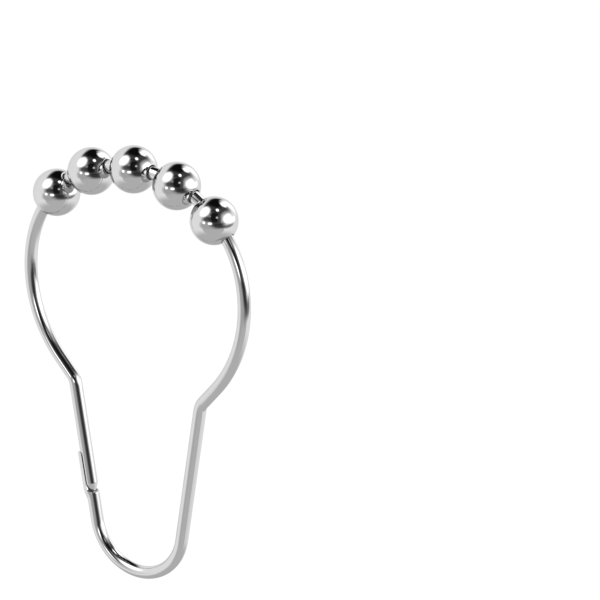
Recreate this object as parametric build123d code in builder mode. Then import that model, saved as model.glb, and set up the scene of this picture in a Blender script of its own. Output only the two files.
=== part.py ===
from build123d import *
import os
from math import acos, atan2, cos, degrees, radians, sin, tan

# Shower curtain hook: a closed loop of springy wire with five roller balls threaded on its crown.
# Millimetres, +Z up, as it hangs. The loop lies in the XZ plane, with its front at +X and its latch on
# the back leg at -X. The balls roll along Y. The origin is the lowest point of the middle ball.

# Wire
wire_diameter = 2.2
crown_radius = 26.1
crown_half_angle = 21.8
shoulder_radius = 19.5
shoulder_end_angle = 81.8
flank_radius = 22.0
flank_end_angle = 132.65
waist_reach = 4.59
knee_radius = 2.8
leg_drop = 23.1
bend_radius = 9.0

# Roller balls
ball_diameter = 8.0
ball_count = 5
ball_gap = 0.98
bore_clearance = 0.06
bore_land = 0.5
bore_lip_radius = 0.15

# Latch
latch_rise = 4.7
latch_clearance = 0.05
nose_tip_radius = 0.6
nose_taper = 20.0
channel_length = 7.5
channel_wall = 0.3
channel_root = 1.2
channel_flare = 2.2
channel_tip_radius = 0.4
cup_lip_height = 0.7
cup_lip_slope = 20.0
nose_run = 1.0

wire_radius = wire_diameter / 2
ball_radius = ball_diameter / 2


def bow(radius, length):
    """How far an arc of this radius rises over its chord when this much of its length is on each side
    of the middle."""
    return radius * (1 - cos(length / radius))


# Each ball's bore is snug on the wire at its two mouths, on short lands, and is relieved between them,
# because the wire bows there. The wire is most askew in a land on the tightest arc, the shoulder.
land_reach = (ball_radius**2 - wire_radius**2) ** 0.5 - bore_lip_radius - bore_land / 2
land_skew = land_reach / shoulder_radius
land_radius = wire_radius / cos(land_skew) + bore_land / 2 * tan(land_skew) + bore_clearance
relief_radius = wire_radius + bow(shoulder_radius, land_reach) + bore_clearance
land_start = land_reach - bore_land / 2
relief_reach = land_start - 2 * (relief_radius - land_radius)

# The loop's outline is worked out for the front half, on wire centrelines, as (x, z). An angle is the
# wire's slope below level, so 0 is the top of the crown and 90 points straight down.
crown_centre = Vector(0, ball_radius + bow(crown_radius, land_reach) - crown_radius)


def spoke(angle):
    """Unit vector from an arc's centre to the point where the wire slopes at this angle."""
    return Vector(sin(radians(angle)), cos(radians(angle)))


def bearing(vector):
    """The spoke angle that points along a vector."""
    return degrees(atan2(vector.X, vector.Y))


shoulder_centre = crown_centre + spoke(crown_half_angle) * (crown_radius - shoulder_radius)
flank_centre = shoulder_centre + spoke(shoulder_end_angle) * (shoulder_radius - flank_radius)

# The waist leaves the flank arc at a tangent and runs straight to the corner of the knee. The centre
# of the U-bend is below that corner. The leg runs from the corner to a tangent of the U-bend.
flank_end = flank_centre + spoke(flank_end_angle) * flank_radius
knee_corner = flank_end + spoke(flank_end_angle + 90) * waist_reach
bend_centre = Vector(0, knee_corner.Y - leg_drop)
corner_from_bend = knee_corner - bend_centre
leg_angle = bearing(corner_from_bend) + degrees(acos(bend_radius / corner_from_bend.length))
leg_lean = leg_angle - 90

# The knee rounds the corner, and takes as much from the waist as from the leg.
knee_turn = flank_end_angle - leg_angle
knee_setback = knee_radius * tan(radians(knee_turn / 2))
waist_length = waist_reach - knee_setback
leg_length = (corner_from_bend.length**2 - bend_radius**2) ** 0.5 - knee_setback

# The latch stands on the back leg. Its plane has X pointing out of the loop and Y up the leg, with
# the origin at the foot of the cup.
leg_up = Vector(-sin(radians(leg_lean)), 0, cos(radians(leg_lean)))
leg_out = Vector(-cos(radians(leg_lean)), 0, -sin(radians(leg_lean)))
back_leg_foot = Vector(0, 0, bend_centre.Y) + leg_out * bend_radius
cup_foot = back_leg_foot + leg_up * latch_rise
latch_plane = Plane(origin=cup_foot, x_dir=leg_out, z_dir=(0, 1, 0))
channel_plane = Plane(origin=cup_foot, x_dir=(0, 1, 0), z_dir=-leg_out)
leg_axis = Axis(cup_foot, leg_up)

channel_bore_radius = wire_radius + latch_clearance
channel_radius = channel_bore_radius + channel_wall
nose_centre = latch_clearance + nose_tip_radius
bore_top = channel_length + channel_wall
pin_top = channel_length + nose_run


def nose_section(grow, top):
    """Half section of the wire's nose, grown all round: a round tip, a taper and a straight side."""
    side = wire_radius + grow
    with BuildSketch(latch_plane) as section:
        with BuildLine():
            tip = CenterArc((0, nose_centre), nose_tip_radius + grow, 270, 90 - nose_taper)
            taper_end = (tip @ 1).Y + (side - (tip @ 1).X) / tan(radians(nose_taper))
            Polyline(tip @ 1, (side, taper_end), (side, top), (0, top), tip @ 0)
        make_face()
    return section.sketch


# Wire hook, from the end above the latch, over the crown and round the U-bend to the cup.
with BuildPart() as wire_hook:
    with BuildLine(Plane.XZ) as loop:
        pin_end = cup_foot + leg_up * pin_top
        back_leg_top = back_leg_foot + leg_up * leg_length
        back_leg = Line((pin_end.X, pin_end.Z), (back_leg_top.X, back_leg_top.Z))
        back_knee = JernArc(back_leg @ 1, back_leg % 1, knee_radius, knee_turn)
        back_waist = Line(back_knee @ 1, back_knee @ 1 + (back_knee % 1) * waist_length)
        back_flank = JernArc(
            back_waist @ 1, back_waist % 1, flank_radius, shoulder_end_angle - flank_end_angle
        )
        back_shoulder = JernArc(
            back_flank @ 1, back_flank % 1, shoulder_radius, crown_half_angle - shoulder_end_angle
        )
        crown = JernArc(back_shoulder @ 1, back_shoulder % 1, crown_radius, -2 * crown_half_angle)
        shoulder = JernArc(
            crown @ 1, crown % 1, shoulder_radius, crown_half_angle - shoulder_end_angle
        )
        flank = JernArc(shoulder @ 1, shoulder % 1, flank_radius, shoulder_end_angle - flank_end_angle)
        waist = Line(flank @ 1, flank @ 1 + (flank % 1) * waist_length)
        front_knee = JernArc(waist @ 1, waist % 1, knee_radius, knee_turn)
        leg = Line(front_knee @ 1, front_knee @ 1 + (front_knee % 1) * leg_length)
        u_bend = JernArc(leg @ 1, leg % 1, bend_radius, 2 * leg_lean - 180)
        cup_stem = Line(u_bend @ 1, u_bend @ 1 + (u_bend % 1) * (latch_rise + cup_lip_height))
    with BuildSketch(Plane(origin=back_leg @ 0, x_dir=(0, 1, 0), z_dir=leg_up)):
        Circle(wire_radius)
    sweep()

    # The half-round channel: a flared sleeve round the outer half of the stem.
    with BuildSketch(channel_plane):
        with BuildLine():
            Polyline(
                (0, -channel_root),
                (wire_radius, -channel_root),
                (channel_radius, channel_flare - channel_root),
                (channel_radius, channel_length),
                (0, channel_length),
                close=True,
            )
        make_face()
    revolve(axis=leg_axis, revolution_arc=180)

    # The bore of the channel, with the cup at its foot, is the nose with its clearance all round.
    revolve(nose_section(latch_clearance, bore_top), axis=leg_axis, mode=Mode.SUBTRACT)

    # The lip of the cup slopes down to the inside of the loop.
    with BuildSketch(latch_plane):
        lip_drop = wire_diameter * tan(radians(cup_lip_slope))
        with BuildLine():
            Polyline(
                (0, cup_lip_height),
                (-wire_diameter, cup_lip_height - lip_drop),
                (-wire_diameter, channel_length),
                (0, channel_length),
                close=True,
            )
        make_face()
    extrude(amount=wire_diameter, both=True, mode=Mode.SUBTRACT)

    # The two corners at the channel's tip are rounded, seen from outside the loop.
    tip_height = leg_up.dot(cup_foot) + channel_length
    tip_corners = (
        wire_hook.edges()
        .filter_by(GeomType.LINE)
        .filter_by(lambda edge: abs(edge.center().dot(leg_up) - tip_height) < latch_clearance)
    )
    fillet(tip_corners, channel_tip_radius)

    # The straight end of the wire above the latch, with its bullet nose.
    revolve(nose_section(0, pin_top), axis=leg_axis)


def crown_point(arc_length):
    """Point on the wire's centreline at a distance along it from the top of the crown, positive to
    the front."""
    crown_half_length = radians(crown_half_angle) * crown_radius
    past_crown = max(abs(arc_length) - crown_half_length, 0)
    on_crown = abs(arc_length) - past_crown
    angle = degrees(on_crown / crown_radius + past_crown / shoulder_radius)
    centre = shoulder_centre if past_crown else crown_centre
    radius = shoulder_radius if past_crown else crown_radius
    side = 1 if arc_length >= 0 else -1
    point = centre + spoke(angle) * radius
    return Vector(side * point.X, 0, point.Y)


def ball_plane(arc_length):
    """Plane with its origin at a ball's centre and Z along its bore. The wire passes through the
    middle of both lands."""
    back, front = crown_point(arc_length - land_reach), crown_point(arc_length + land_reach)
    return Plane(origin=(back + front) / 2, x_dir=(0, 1, 0), z_dir=front - back)


# The roller ball, with its bore along Z.
with BuildPart() as roller_ball:
    Sphere(ball_radius)
    with BuildSketch(Plane.XZ):
        with BuildLine():
            Polyline(
                (0, -ball_radius),
                (land_radius, -ball_radius),
                (land_radius, -land_start),
                (relief_radius, -relief_reach),
                (relief_radius, relief_reach),
                (land_radius, land_start),
                (land_radius, ball_radius),
                (0, ball_radius),
                close=True,
            )
        make_face()
    revolve(axis=Axis.Z, mode=Mode.SUBTRACT)
    bore_rings = roller_ball.edges().filter_by(GeomType.CIRCLE).group_by(Axis.Z)
    fillet(bore_rings[0] + bore_rings[-1], bore_lip_radius)

# Five of them are threaded on the crown, each free to turn on the wire. Number 1 is at the back.
ball_pitch = ball_diameter + ball_gap
roller_balls = []
for number in range(1, ball_count + 1):
    station = (number - (ball_count + 1) / 2) * ball_pitch
    ball = ball_plane(station).location * roller_ball.part
    ball.label = f"roller_ball_{number}"
    roller_balls.append(ball)

wire_hook.part.label = "wire_hook"

os.makedirs("parts", exist_ok=True)
export_step(wire_hook.part, "parts/wire_hook.step")
for ball in roller_balls:
    export_step(ball, f"parts/{ball.label}.step")
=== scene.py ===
import bpy
import numpy as np
from mathutils import Matrix


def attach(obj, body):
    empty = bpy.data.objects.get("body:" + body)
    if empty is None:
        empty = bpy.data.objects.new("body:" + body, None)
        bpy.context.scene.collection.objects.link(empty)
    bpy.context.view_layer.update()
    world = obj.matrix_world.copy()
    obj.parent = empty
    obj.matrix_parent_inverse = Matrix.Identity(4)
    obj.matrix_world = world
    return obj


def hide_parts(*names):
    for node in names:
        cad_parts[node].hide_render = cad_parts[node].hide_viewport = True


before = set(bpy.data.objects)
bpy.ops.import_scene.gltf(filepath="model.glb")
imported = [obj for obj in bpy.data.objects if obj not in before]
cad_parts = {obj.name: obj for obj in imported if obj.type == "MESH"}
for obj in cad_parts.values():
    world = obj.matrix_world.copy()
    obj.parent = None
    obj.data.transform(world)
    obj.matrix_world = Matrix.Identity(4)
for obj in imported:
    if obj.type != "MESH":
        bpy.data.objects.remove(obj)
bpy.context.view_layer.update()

# The line of the wire. The hook is bent from one length of round wire on pins of a few sizes, so its
# line is a chain of arcs and straight runs in one plane. The back mirrors the front as far as the
# upper end of the wire, which stops in the latch on the back leg.
crown_radius, crown_turn = 26.1, 21.8
shoulder_radius, shoulder_turn = 19.5, 60.0
flank_radius, flank_turn = 22.0, 50.85
waist_length = 3.76
knee_radius, knee_turn = 2.8, 33.02
leg_length = 24.127
bend_radius, leg_lean = 9.0, 9.63
crown_height = 4.227
latch_rise = 4.7
nose_gap, spring_gap = 0.05, 0.025
line_samples, past_cup = 16001, 8.0

runs = np.array([
    (crown_radius * np.radians(crown_turn), crown_turn),
    (shoulder_radius * np.radians(shoulder_turn), shoulder_turn),
    (flank_radius * np.radians(flank_turn), flank_turn),
    (waist_length, 0.0),
    (knee_radius * np.radians(knee_turn), -knee_turn),
    (leg_length, 0.0),
    (bend_radius * np.radians(180 - 2 * leg_lean), 180 - 2 * leg_lean),
    (latch_rise, 0.0),
])
run_ends = np.concatenate([[0.0], np.cumsum(runs[:, 0])])
run_slopes = np.concatenate([[0.0], np.cumsum(np.radians(runs[:, 1]))])
cup_station = run_ends[8]
nose_station = -(run_ends[6] - latch_rise - nose_gap)


def slope_at(station):
    """Slope of the wire below level, in radians, at a distance along it from the top of the crown.
    It turns at a steady rate along an arc and keeps still along a straight, the same both ways."""
    return np.sign(station) * np.interp(np.abs(station), run_ends, run_slopes)


fine_stations = np.linspace(nose_station, cup_station + past_cup, line_samples)
fine_step = fine_stations[1] - fine_stations[0]
fine_slopes = slope_at(fine_stations + fine_step / 2)
fine_x = np.concatenate([[0.0], np.cumsum(np.cos(fine_slopes[:-1])) * fine_step])
fine_z = np.concatenate([[0.0], -np.cumsum(np.sin(fine_slopes[:-1])) * fine_step])
fine_x -= np.interp(0.0, fine_stations, fine_x)
fine_z += crown_height - np.interp(0.0, fine_stations, fine_z)


def wire_line(station):
    """Point, forward direction and outward direction of the wire at each station. The point adds up
    the small level and falling steps that the slope gives, out from the top of the crown."""
    slope = slope_at(station)
    level = np.zeros_like(slope)
    point = np.stack([
        np.interp(station, fine_stations, fine_x),
        level,
        np.interp(station, fine_stations, fine_z),
    ], axis=-1)
    forward = np.stack([np.cos(slope), level, -np.sin(slope)], axis=-1)
    outward = np.stack([np.sin(slope), level, np.cos(slope)], axis=-1)
    return point, forward, outward


# The wire hook itself. One piece of 2.2 mm spring steel wire from the bullet nose of its upper end,
# over the crown and round the U-bend, to its lower end. That end is stamped into a half-round channel
# with a cup at its foot, where the nose snaps in. The whole piece is chrome plated after forming.
wire_radius = 1.1
nose_tip_radius, nose_taper = 0.6, 20.0
channel_wall, channel_length = 0.36, 7.5
channel_root, channel_flare = 1.2, 2.2
channel_tip_radius = 0.2
channel_edge, edge_blend = 77.0, 1.4
thinning_start, thinning_end = 30.0, 110.0
crotch_radius = 0.42
cup_lip_height, cup_lip_slope = 0.7, 20.0
lip_round, tip_round = 0.2, 0.05
rim_power, mouth_reach = 0.7, 0.75
row_step, bend_window = 0.26, 0.4
squeeze_share, squeeze_start = 0.07, 0.06


def smooth_step(value, start, end):
    """Eased rise from 0 at start to 1 at end: three times the square less twice the cube."""
    t = np.clip((value - start) / (end - start), 0.0, 1.0)
    return t * t * (3.0 - 2.0 * t)


def nose_profile(grow, top, count):
    """Height and radius from the tip of the nose up to the full wire, grown all round: a ball-shaped
    tip, a straight taper tangent to it, and then the wire's own straight side."""
    theta = np.linspace(0.0, np.radians(90 - nose_taper), count)
    tip = nose_tip_radius + grow
    centre = nose_gap + nose_tip_radius
    height = centre - tip * np.cos(theta)
    radius = tip * np.sin(theta)
    side = wire_radius + grow
    taper_end = height[-1] + (side - radius[-1]) / np.tan(np.radians(nose_taper))
    blend = np.linspace(0.0, 1.0, 7)[1:]
    straight = np.array([taper_end + 0.1, taper_end + 0.3, top])
    height = np.concatenate([height, height[-1] + (taper_end - height[-1]) * blend, straight])
    radius = np.concatenate([radius, radius[-1] + (side - radius[-1]) * blend, side + 0.0 * straight])
    return height, radius


def grid_mesh(name, points, closed_rows, attribute=None):
    """Mesh of a grid of points, rows by columns. The columns close on themselves. The rows close
    too, or each end row is drawn together into a pole."""
    rows, columns, _ = points.shape
    index = np.arange(rows * columns).reshape(rows, columns)
    right = np.roll(index, -1, axis=1)
    if closed_rows:
        below = np.roll(index, -1, axis=0)
        below_right = np.roll(right, -1, axis=0)
        faces = np.stack([index, below, below_right, right], axis=-1).reshape(-1, 4)
        corners, starts = faces.ravel(), np.arange(len(faces)) * 4
        flat = points.reshape(-1, 3)
    else:
        faces = np.stack([index[:-1], index[1:], right[1:], right[:-1]], axis=-1).reshape(-1, 4)
        first, last = rows * columns, rows * columns + 1
        start_fan = np.stack([np.full(columns, first), index[0], right[0]], axis=-1)
        end_fan = np.stack([np.full(columns, last), right[-1], index[-1]], axis=-1)
        corners = np.concatenate([faces.ravel(), start_fan.ravel(), end_fan.ravel()])
        quads, fans = len(faces), 2 * columns
        starts = np.concatenate([np.arange(quads) * 4, quads * 4 + np.arange(fans) * 3])
        poles = np.stack([points[0].mean(axis=0), points[-1].mean(axis=0)])
        flat = np.concatenate([points.reshape(-1, 3), poles])
    mesh = bpy.data.meshes.new(name)
    mesh.vertices.add(len(flat))
    mesh.vertices.foreach_set("co", (flat * 0.001).astype(np.float32).ravel())
    mesh.loops.add(len(corners))
    mesh.loops.foreach_set("vertex_index", corners.astype(np.int32))
    mesh.polygons.add(len(starts))
    mesh.polygons.foreach_set("loop_start", starts.astype(np.int32))
    mesh.update(calc_edges=True)
    mesh.shade_smooth()
    if attribute is not None:
        label, values = attribute
        if not closed_rows:
            ends = np.stack([values[0].mean(axis=0), values[-1].mean(axis=0)])
            values = np.concatenate([values.reshape(-1, 3), ends])
        layer = mesh.attributes.new(label, "FLOAT_VECTOR", "POINT")
        layer.data.foreach_set("vector", values.astype(np.float32).ravel())
    piece = bpy.data.objects.new(name, mesh)
    bpy.context.scene.collection.objects.link(piece)
    return piece


# Bearings round the wire, from the outside of the loop, closer together at the channel's two edges.
even_bearings = np.linspace(-180.0, 180.0, 60, endpoint=False)
edge_bearings = np.array([-4.0, -3.0, -2.2, -1.6, -1.1, -0.7, 0.0, 0.7, 1.1, 1.6, 2.2, 3.0, 4.0])
clear = np.abs(np.abs(even_bearings) - channel_edge) > 5.0
bearings = np.sort(np.concatenate([
    even_bearings[clear], edge_bearings - channel_edge, edge_bearings + channel_edge
]))
bearing = np.radians(bearings)[None, :]

# Rows of the nose and of the plain wire: each has a station, and a radius the same all round.
nose_heights, nose_radii = nose_profile(0.0, 3.0, 10)
nose_rows = nose_station + (nose_heights[1:] - nose_gap)
plain_rows = np.arange(nose_rows[-1] + 0.3, cup_station - channel_root - 0.2, row_step)
plain_rows = np.append(plain_rows, cup_station - channel_root)
stations = np.concatenate([nose_rows, plain_rows])
radii = np.concatenate([nose_radii[1:], np.full(len(plain_rows), wire_radius)])
point, forward, outward = wire_line(stations)
sideways = np.array([0.0, 1.0, 0.0])

# A tight bend squeezes the wire a little thinner across the bend and wider along it.
bend_rate = np.abs(slope_at(stations + bend_window) - slope_at(stations - bend_window))
bend_rate = bend_rate / (2 * bend_window)
squeeze = squeeze_share * np.clip(bend_rate - squeeze_start, 0.0, 1.0)[:, None]
across = radii[:, None] * (1.0 - squeeze) * np.cos(bearing)
along = radii[:, None] * (1.0 + 0.5 * squeeze) * np.sin(bearing)
wire_points = (
    point[:, None, :] + across[..., None] * outward[:, None, :] + along[..., None] * sideways
)

# Rows of the latch: up the outside of the channel, over its rim, and down the bore to the cup.
turn_away = np.abs(bearings)[None, :]
tongue = 1.0 - smooth_step(turn_away, channel_edge - edge_blend, channel_edge + edge_blend)
wall_share = 1.0 - smooth_step(turn_away, thinning_start, thinning_end)
edge_round = lip_round + (tip_round - lip_round) * tongue
channel_radius = wire_radius + nose_gap + channel_wall
half_width = channel_radius * np.sin(np.radians(channel_edge))
tip_reach = np.abs(channel_radius * np.sin(bearing)) - half_width + channel_tip_radius
tip_reach = np.clip(tip_reach, 0.0, channel_tip_radius)
tip_height = channel_length - channel_tip_radius + np.sqrt(channel_tip_radius**2 - tip_reach**2)
crotch_reach = crotch_radius - wire_radius * np.radians(turn_away - channel_edge)
crotch_reach = np.clip(crotch_reach, 0.0, crotch_radius)
crotch_height = crotch_radius - np.sqrt(crotch_radius**2 - crotch_reach**2)
bore_heights, bore_radii = nose_profile(nose_gap, channel_length + 1.0, 14)
bore_radii = np.minimum(bore_radii, wire_radius + spring_gap)


def lip_height(radius):
    """Height of the rim above the cup at a distance from the leg's axis: the tip of the channel on
    the outer side, then a round crotch, and a lip that slopes down towards the inside of the loop."""
    fall = np.minimum(radius * np.cos(bearing), 0.0) * np.tan(np.radians(cup_lip_slope))
    lip = cup_lip_height + fall + crotch_height
    return lip + (tip_height - lip) * tongue


def outside_radius(height):
    """Outer radius of the latch: the wire, eased out to the channel's wall over the flare."""
    flare = smooth_step(height, -channel_root, channel_flare - channel_root)
    return wire_radius + (channel_radius - wire_radius) * flare * wall_share


# The rows lie closer together at the flare's foot and in the cup, where the shape turns fastest.
climb = np.linspace(0.0, 1.0, 40)[1:, None] ** 1.25
rim_outside = lip_height(wire_radius) - edge_round
outside_heights = -channel_root + (rim_outside + channel_root) * climb
outside_radii = outside_radius(outside_heights)
mouth_height = lip_height(mouth_reach)
mouth_radius = np.interp(mouth_height, bore_heights, bore_radii)
roll = np.linspace(0.0, np.pi, 13)[1:-1, None]
roll_side = np.sign(np.cos(roll)) * np.abs(np.cos(roll)) ** rim_power
roll_top = np.abs(np.sin(roll)) ** rim_power
rim_middle = (outside_radii[-1] + mouth_radius) / 2
rim_radii = rim_middle + (outside_radii[-1] - mouth_radius) / 2 * roll_side
rim_heights = lip_height(rim_radii) - edge_round + edge_round * roll_top
descent = np.linspace(1.0, 0.0, 34)[:-1, None] ** 1.6
inside_heights = (mouth_height - edge_round) * descent
inside_radii = np.interp(inside_heights, bore_heights, bore_radii)
latch_heights = np.concatenate([outside_heights, rim_heights, inside_heights])
latch_radii = np.concatenate([outside_radii, rim_radii, inside_radii])
cup_point, cup_up, cup_out = wire_line(np.array([cup_station]))
latch_points = (
    cup_point
    + latch_heights[..., None] * cup_up
    + (latch_radii * np.cos(bearing))[..., None] * cup_out
    + (latch_radii * np.sin(bearing))[..., None] * sideways
)

hook_points = np.concatenate([wire_points, latch_points])
# Where each point lies: round the wire as a circle, and along the wire.
lie = np.zeros_like(hook_points)
lie[..., 0] = np.cos(bearing)
lie[..., 1] = np.sin(bearing)
lie[: len(stations), :, 2] = stations[:, None]
lie[len(stations) :, :, 2] = cup_station + latch_heights
hook = grid_mesh("chromed_wire", hook_points, False, ("lie_on_wire", lie))


def node_group(name, inputs, outputs):
    """New shader node group with named number, vector or colour sockets, and its two end nodes."""
    group = bpy.data.node_groups.new(name, "ShaderNodeTree")
    for label, kind, value in inputs:
        socket = group.interface.new_socket(label, in_out="INPUT", socket_type=kind)
        if value is not None:
            socket.default_value = value
    for label, kind in outputs:
        group.interface.new_socket(label, in_out="OUTPUT", socket_type=kind)
    return group, group.nodes.new("NodeGroupInput"), group.nodes.new("NodeGroupOutput")


# Marks that handling leaves on plating: faint smears that dull the gloss, and hairline scratches.
marks, marks_in, marks_out = node_group(
    "handling_marks",
    [
        ("Vector", "NodeSocketVector", None),
        ("Gloss", "NodeSocketFloat", 0.03),
        ("Smear", "NodeSocketFloat", 0.04),
        ("Scratch", "NodeSocketFloat", 0.1),
    ],
    [("Roughness", "NodeSocketFloat")],
)
smear = marks.nodes.new("ShaderNodeTexNoise")
smear.inputs["Scale"].default_value = 260.0
smear.inputs["Detail"].default_value = 4.0
smear.inputs["Distortion"].default_value = 0.6
smear_range = marks.nodes.new("ShaderNodeMapRange")
smear_range.interpolation_type = "SMOOTHSTEP"
smear_range.inputs["From Min"].default_value = 0.5
smear_range.inputs["From Max"].default_value = 0.75
smear_gain = marks.nodes.new("ShaderNodeMath")
smear_gain.operation = "MULTIPLY_ADD"
scratch = marks.nodes.new("ShaderNodeTexVoronoi")
scratch.feature = "DISTANCE_TO_EDGE"
scratch.inputs["Scale"].default_value = 900.0
scratch_warp = marks.nodes.new("ShaderNodeTexNoise")
scratch_warp.inputs["Scale"].default_value = 500.0
scratch_shift = marks.nodes.new("ShaderNodeVectorMath")
scratch_shift.operation = "MULTIPLY_ADD"
scratch_shift.inputs[1].default_value = (0.0025, 0.0025, 0.0025)
scratch_line = marks.nodes.new("ShaderNodeMapRange")
scratch_line.interpolation_type = "SMOOTHSTEP"
scratch_line.inputs["From Min"].default_value = 0.0
scratch_line.inputs["From Max"].default_value = 0.02
scratch_line.inputs["To Min"].default_value = 1.0
scratch_line.inputs["To Max"].default_value = 0.0
scratch_gain = marks.nodes.new("ShaderNodeMath")
scratch_gain.operation = "MULTIPLY"
gloss_total = marks.nodes.new("ShaderNodeMath")
gloss_total.operation = "MULTIPLY_ADD"
gloss_total.inputs[1].default_value = 0.25
link = marks.links.new
link(marks_in.outputs["Vector"], smear.inputs["Vector"])
link(smear.outputs["Fac"], smear_range.inputs["Value"])
link(smear_range.outputs["Result"], smear_gain.inputs[0])
link(marks_in.outputs["Smear"], smear_gain.inputs[1])
link(marks_in.outputs["Gloss"], smear_gain.inputs[2])
link(marks_in.outputs["Vector"], scratch_warp.inputs["Vector"])
link(scratch_warp.outputs["Color"], scratch_shift.inputs[0])
link(marks_in.outputs["Vector"], scratch_shift.inputs[2])
link(scratch_shift.outputs["Vector"], scratch.inputs["Vector"])
link(scratch.outputs["Distance"], scratch_line.inputs["Value"])
link(scratch_line.outputs["Result"], scratch_gain.inputs[0])
link(marks_in.outputs["Scratch"], scratch_gain.inputs[1])
link(scratch_gain.outputs["Value"], gloss_total.inputs[0])
link(smear_gain.outputs["Value"], gloss_total.inputs[2])
link(gloss_total.outputs["Value"], marks_out.inputs["Roughness"])


def chrome_material(name, colour, gloss, smear_depth, scratch_depth, ripple_scale, ripple_depth):
    """Chrome plate: a metal mirror whose gloss varies with handling marks, over a faint ripple that
    the plating leaves. Returns the material and its bump node, for a further pattern."""
    material = bpy.data.materials.new(name)
    material.use_nodes = True
    nodes, join = material.node_tree.nodes, material.node_tree.links.new
    metal = nodes["Principled BSDF"]
    metal.inputs["Base Color"].default_value = (*colour, 1.0)
    metal.inputs["Metallic"].default_value = 1.0
    metal.inputs["Specular Tint"].default_value = (0.8, 0.8, 0.8, 1.0)
    place = nodes.new("ShaderNodeTexCoord")
    wear = nodes.new("ShaderNodeGroup")
    wear.node_tree = marks
    wear.inputs["Gloss"].default_value = gloss
    wear.inputs["Smear"].default_value = smear_depth
    wear.inputs["Scratch"].default_value = scratch_depth
    join(place.outputs["Object"], wear.inputs["Vector"])
    join(wear.outputs["Roughness"], metal.inputs["Roughness"])
    ripple = nodes.new("ShaderNodeTexNoise")
    ripple.inputs["Scale"].default_value = ripple_scale
    ripple.inputs["Detail"].default_value = 1.0
    join(place.outputs["Object"], ripple.inputs["Vector"])
    bump = nodes.new("ShaderNodeBump")
    bump.inputs["Strength"].default_value = 1.0
    bump.inputs["Distance"].default_value = ripple_depth * 0.001
    join(ripple.outputs["Fac"], bump.inputs["Height"])
    join(bump.outputs["Normal"], metal.inputs["Normal"])
    return material, bump


wire_chrome, wire_bump = chrome_material(
    "wire_chrome", (0.60, 0.60, 0.60), 0.045, 0.04, 0.08, 700.0, 0.0006
)
# Drawing the wire through its die leaves faint lines along it, which show through the plating.
tree = wire_chrome.node_tree
lie_node = tree.nodes.new("ShaderNodeAttribute")
lie_node.attribute_name = "lie_on_wire"
stretch = tree.nodes.new("ShaderNodeVectorMath")
stretch.operation = "MULTIPLY"
stretch.inputs[1].default_value = (7.0, 7.0, 0.08)
die_lines = tree.nodes.new("ShaderNodeTexNoise")
die_lines.inputs["Scale"].default_value = 1.0
die_lines.inputs["Detail"].default_value = 2.0
die_bump = tree.nodes.new("ShaderNodeBump")
die_bump.inputs["Strength"].default_value = 1.0
die_bump.inputs["Distance"].default_value = 0.0000012
tree.links.new(lie_node.outputs["Vector"], stretch.inputs[0])
tree.links.new(stretch.outputs["Vector"], die_lines.inputs["Vector"])
tree.links.new(die_lines.outputs["Fac"], die_bump.inputs["Height"])
tree.links.new(die_bump.outputs["Normal"], wire_bump.inputs["Normal"])
hook.data.materials.append(wire_chrome)
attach(hook, "hook")
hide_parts("wire_hook")

# The roller balls. Five 8 mm steel balls, drilled snug on the wire at both mouths and relieved in
# between, tumbled so that the mouths are round, then polished and chrome plated. They are threaded on
# the crown and turn on the wire.
ball_radius, ball_spacing = 4.0, 8.98
land_radius, land_reach, land_start = 1.222, 3.446, 3.196
relief_radius, relief_reach = 1.464, 2.713
mouth_round = 0.15
ball_rows, ball_columns = 90, 112
ball_chrome, _ = chrome_material(
    "ball_chrome", (0.60, 0.60, 0.60), 0.03, 0.03, 0.05, 260.0, 0.0006
)


def ball_section():
    """Distance along the bore and radius from it, once round the section of a drilled ball: the
    outside arc, a small arc rolling into each mouth, the snug lands, and the wider bore between."""
    centre_out = land_radius + mouth_round
    mouth_angle = np.arcsin(centre_out / (ball_radius - mouth_round))
    centre_along = (ball_radius - mouth_round) * np.cos(mouth_angle)
    outside = np.linspace(mouth_angle, np.pi - mouth_angle, ball_rows)
    first = np.linspace(-np.pi / 2, mouth_angle, 9)[:-1]
    last = np.pi - first[::-1]
    bore_along = np.array([-land_start, -relief_reach, -1.0, 1.0, relief_reach, land_start])
    bore_out = np.array([land_radius, relief_radius, relief_radius])
    along = np.concatenate([
        centre_along + mouth_round * np.cos(first),
        ball_radius * np.cos(outside),
        -centre_along + mouth_round * np.cos(last),
        bore_along,
    ])
    out = np.concatenate([
        centre_out + mouth_round * np.sin(first),
        ball_radius * np.sin(outside),
        centre_out + mouth_round * np.sin(last),
        bore_out,
        bore_out[::-1],
    ])
    return along, out


section_along, section_out = ball_section()
around = np.linspace(0.0, 2 * np.pi, ball_columns, endpoint=False)[None, :]
for number in range(1, 6):
    station = (number - 3) * ball_spacing
    # The wire passes through the middle of both lands, so the bore is the chord between them.
    lands, _, _ = wire_line(np.array([station - land_reach, station + land_reach]))
    middle = lands.mean(axis=0)
    bore = (lands[1] - lands[0]) / np.linalg.norm(lands[1] - lands[0])
    upward = np.cross(sideways, bore)
    ball_points = (
        middle
        + section_along[:, None, None] * bore
        + (section_out[:, None] * np.cos(around))[..., None] * upward
        + (section_out[:, None] * np.sin(around))[..., None] * sideways
    )
    ball = grid_mesh(f"roller_{number}", ball_points, True)
    ball.data.materials.append(ball_chrome)
    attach(ball, f"roller_{number}")
    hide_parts(f"roller_ball_{number}")

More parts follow.
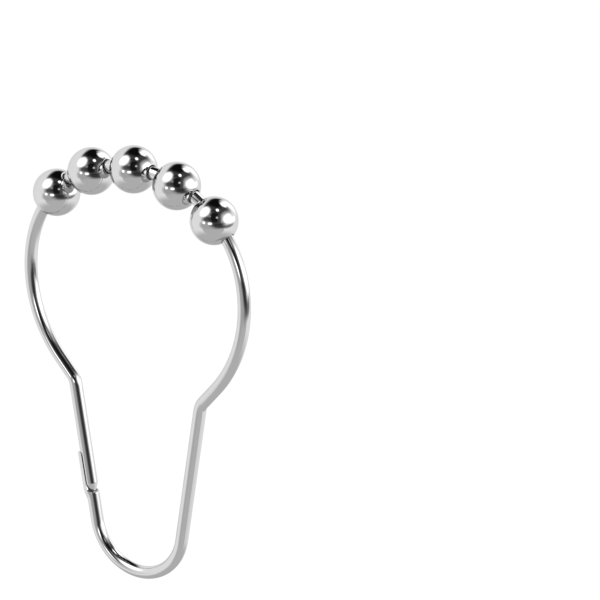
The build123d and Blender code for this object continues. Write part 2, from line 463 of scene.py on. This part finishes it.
# The camera, at the photograph's viewing angle, with a long lens. Its place and turn are in the
# hook's own frame.
camera_data = bpy.data.cameras.new("camera")
camera_data.sensor_width = 36.0
camera_data.lens = 205.615
camera_data.clip_start, camera_data.clip_end = 0.01, 100.0
camera = bpy.data.objects.new("camera", camera_data)
right = (0.82903863, 0.55919006, -0.00119094)
down = (0.15989561, -0.23909625, -0.95774024)
ahead = (-0.53584358, 0.79381324, -0.28763207)
camera.matrix_world = Matrix((
    (right[0], -down[0], -ahead[0], 0.327176),
    (right[1], -down[1], -ahead[1], -0.435964),
    (right[2], -down[2], -ahead[2], 0.145099),
    (0.0, 0.0, 0.0, 1.0),
))
bpy.context.scene.collection.objects.link(camera)
bpy.context.scene.camera = camera
bpy.context.scene.view_settings.view_transform = "Standard"

# The studio's light. One function of the direction from the hook gives the light that comes from it:
# pale walls, a slightly darker floor in front, a dark ceiling, soft lamps, and a dark camera side.
patch, patch_in, patch_out = node_group(
    "soft_patch",
    [
        ("Level", "NodeSocketFloat", 0.0),
        ("Direction", "NodeSocketVector", None),
        ("Facing", "NodeSocketVector", (0.0, 0.0, 1.0)),
        ("Side", "NodeSocketVector", (1.0, 0.0, 0.0)),
        ("Up", "NodeSocketVector", (0.0, 1.0, 0.0)),
        ("Width", "NodeSocketFloat", 0.5),
        ("Height", "NodeSocketFloat", 0.5),
        ("Softness", "NodeSocketFloat", 0.3),
        ("Brightness", "NodeSocketFloat", 1.0),
    ],
    [("Level", "NodeSocketFloat")],
)


def group_math(group, operation, *sources):
    """Math node in a group, fed by sockets or plain numbers."""
    node = group.nodes.new("ShaderNodeMath")
    node.operation = operation
    for source, socket in zip(sources, node.inputs):
        if isinstance(source, (int, float)):
            socket.default_value = source
        else:
            group.links.new(source, socket)
    return node.outputs["Value"]


def group_dot(group, first, second):
    """How far one direction leans towards another, from 1 to -1."""
    node = group.nodes.new("ShaderNodeVectorMath")
    node.operation = "DOT_PRODUCT"
    group.links.new(first, node.inputs[0])
    if isinstance(second, tuple):
        node.inputs[1].default_value = second
    else:
        group.links.new(second, node.inputs[1])
    return node.outputs["Value"]


def group_ramp(group, value, start, end, low, high):
    """Eased change from low to high as the value goes from start to end."""
    node = group.nodes.new("ShaderNodeMapRange")
    node.interpolation_type = "SMOOTHSTEP"
    for source, label in (
        (value, "Value"), (start, "From Min"), (end, "From Max"), (low, "To Min"), (high, "To Max")
    ):
        if isinstance(source, (int, float)):
            node.inputs[label].default_value = source
        else:
            group.links.new(source, node.inputs[label])
    return node.outputs["Result"]


# A patch is a rounded rectangle: the higher the power, the squarer its corners.
corner_power = 2.6
facing = group_dot(patch, patch_in.outputs["Direction"], patch_in.outputs["Facing"])
depth = group_math(patch, "MAXIMUM", facing, 0.001)
reach = []
for axis, size in (("Side", "Width"), ("Up", "Height")):
    lean = group_dot(patch, patch_in.outputs["Direction"], patch_in.outputs[axis])
    tangent = group_math(patch, "DIVIDE", lean, depth)
    share = group_math(patch, "DIVIDE", tangent, patch_in.outputs[size])
    reach.append(group_math(patch, "POWER", group_math(patch, "ABSOLUTE", share), corner_power))
distance = group_math(patch, "POWER", group_math(patch, "ADD", *reach), 1 / corner_power)
inner = group_math(patch, "SUBTRACT", 1.0, patch_in.outputs["Softness"])
outer = group_math(patch, "ADD", 1.0, patch_in.outputs["Softness"])
mask = group_ramp(patch, distance, inner, outer, 1.0, 0.0)
mask = group_math(patch, "MULTIPLY", mask, group_math(patch, "GREATER_THAN", facing, 0.0))
change = group_math(patch, "SUBTRACT", patch_in.outputs["Brightness"], patch_in.outputs["Level"])
patch.links.new(
    group_math(patch, "MULTIPLY_ADD", change, mask, patch_in.outputs["Level"]),
    patch_out.inputs["Level"],
)

studio, studio_in, studio_out = node_group(
    "studio_light", [("Direction", "NodeSocketVector", None)], [("Level", "NodeSocketFloat")]
)
towards = studio_in.outputs["Direction"]
rise = group_dot(studio, towards, (0.0, 0.0, 1.0))
level = group_ramp(studio, rise, -0.81, -0.46, 0.66, 1.16)
ceiling = group_ramp(studio, rise, 0.73, 0.88, 0.0, 1.0)
level = group_math(
    studio, "MULTIPLY_ADD", ceiling, group_math(studio, "SUBTRACT", 0.07, level), level
)

# Each patch: bearing from -Y towards +X, height above level, half width and half height as tangents,
# softness of its edge, and brightness.
for turn, height, wide, tall, softness, brightness in (
    (32.0, -36.0, 1.04, 0.33, 0.12, 0.66),
    (-4.0, -10.0, 0.57, 0.28, 0.45, 0.55),
    (-1.0, 20.0, 0.43, 0.27, 0.65, 0.11),
    (-173.0, 63.0, 0.59, 0.67, 0.33, 0.006),
    (107.0, 45.0, 0.71, 0.40, 0.60, 0.07),
    (99.0, 21.0, 0.62, 0.35, 0.58, 0.80),
    (40.0, 30.0, 0.55, 0.69, 0.49, 0.013),
    (61.0, 21.0, 0.13, 0.32, 0.63, 0.10),
    (90.0, -16.0, 1.00, 0.11, 0.63, 0.25),
    (53.5, -7.0, 0.66, 0.25, 0.65, 0.037),
    (-32.0, 47.0, 0.31, 0.35, 0.60, 3.0),
    (107.0, 14.0, 0.38, 0.25, 0.60, 3.0),
    (129.0, 1.0, 0.43, 0.14, 0.45, 2.1),
    (175.0, 26.0, 0.27, 0.45, 0.48, 1.8),
    (160.0, 52.0, 0.18, 0.17, 0.60, 2.5),
    (16.0, 1.0, 0.14, 0.08, 0.65, 3.0),
    (-13.5, 2.0, 0.10, 0.08, 0.60, 3.0),
    (51.0, 29.0, 0.08, 0.07, 0.62, 0.82),
    (69.0, 63.5, 0.09, 0.10, 0.65, 3.0),
    (12.0, 34.0, 0.08, 0.07, 0.58, 0.36),
):
    turn, height = np.radians(turn), np.radians(height)
    node = studio.nodes.new("ShaderNodeGroup")
    node.node_tree = patch
    node.inputs["Facing"].default_value = (
        np.sin(turn) * np.cos(height), -np.cos(turn) * np.cos(height), np.sin(height)
    )
    node.inputs["Side"].default_value = (np.cos(turn), np.sin(turn), 0.0)
    node.inputs["Up"].default_value = (
        -np.sin(turn) * np.sin(height), np.cos(turn) * np.sin(height), np.cos(height)
    )
    node.inputs["Width"].default_value = wide
    node.inputs["Height"].default_value = tall
    node.inputs["Softness"].default_value = softness
    node.inputs["Brightness"].default_value = brightness
    studio.links.new(towards, node.inputs["Direction"])
    studio.links.new(level, node.inputs["Level"])
    level = node.outputs["Level"]
studio.links.new(level, studio_out.inputs["Level"])


def light_or_white(tree, direction):
    """What the studio sends from a direction, or plain white where the camera looks straight at it."""
    light = tree.nodes.new("ShaderNodeGroup")
    light.node_tree = studio
    ray = tree.nodes.new("ShaderNodeLightPath")
    seen = tree.nodes.new("ShaderNodeMix")
    seen.inputs["B"].default_value = 1.0
    tree.links.new(direction, light.inputs["Direction"])
    tree.links.new(ray.outputs["Is Camera Ray"], seen.inputs["Factor"])
    tree.links.new(light.outputs["Level"], seen.inputs["A"])
    return seen.outputs["Result"]


world = bpy.data.worlds.new("studio")
bpy.context.scene.world = world
world.use_nodes = True
sky = world.node_tree
sky.nodes.clear()
sky_place = sky.nodes.new("ShaderNodeTexCoord")
surround = sky.nodes.new("ShaderNodeBackground")
surround.inputs["Strength"].default_value = 1.0
sky.links.new(light_or_white(sky, sky_place.outputs["Generated"]), surround.inputs["Color"])
sky_out = sky.nodes.new("ShaderNodeOutputWorld")
sky.links.new(surround.outputs["Background"], sky_out.inputs["Surface"])

# The floor: a wide flat sheet well under the hanging hook. It is nearly black under light and glows
# with painted studio light.
# It sends out the studio's light for its direction from the middle of the hook. This is a painted
# reflection of lamps and dark patches for the chrome to show. Sizes are in metres.
floor_radius, floor_height, floor_sides = 9, -0.65, 96
hook_middle = (0.0, 0.0, -0.02)
floor_material = bpy.data.materials.new("floor_painted_studio_light")
floor_material.use_nodes = True
sheet_nodes = floor_material.node_tree
floor_painted_glow = sheet_nodes.nodes["Principled BSDF"]
floor_painted_glow.inputs["Base Color"].default_value = (0.02, 0.02, 0.02, 1.0)
floor_painted_glow.inputs["Roughness"].default_value = 0.9
floor_painted_glow.inputs["Specular IOR Level"].default_value = 0.0
floor_painted_glow.inputs["Emission Strength"].default_value = 1.0
floor_place = sheet_nodes.nodes.new("ShaderNodeTexCoord")
from_hook = sheet_nodes.nodes.new("ShaderNodeVectorMath")
from_hook.operation = "SUBTRACT"
from_hook.inputs[1].default_value = hook_middle
from_hook_unit = sheet_nodes.nodes.new("ShaderNodeVectorMath")
from_hook_unit.operation = "NORMALIZE"
sheet_nodes.links.new(floor_place.outputs["Object"], from_hook.inputs[0])
sheet_nodes.links.new(from_hook.outputs["Vector"], from_hook_unit.inputs[0])
# Painted light: the floor's glow is the studio's lamps and dark patches as seen from the hook, and
# camera rays see it plain white.
sheet_nodes.links.new(
    light_or_white(sheet_nodes, from_hook_unit.outputs["Vector"]), floor_painted_glow.inputs["Emission Color"]
)
floor_mesh = bpy.data.meshes.new("floor")
turn = np.linspace(0.0, 2 * np.pi, floor_sides, endpoint=False)
rim = np.stack([
    floor_radius * np.cos(turn), floor_radius * np.sin(turn), np.full(floor_sides, floor_height)
], axis=-1)
floor_mesh.from_pydata(rim.tolist(), [], [list(range(floor_sides))])
floor = bpy.data.objects.new("floor", floor_mesh)
bpy.context.scene.collection.objects.link(floor)
floor.data.materials.append(floor_material)
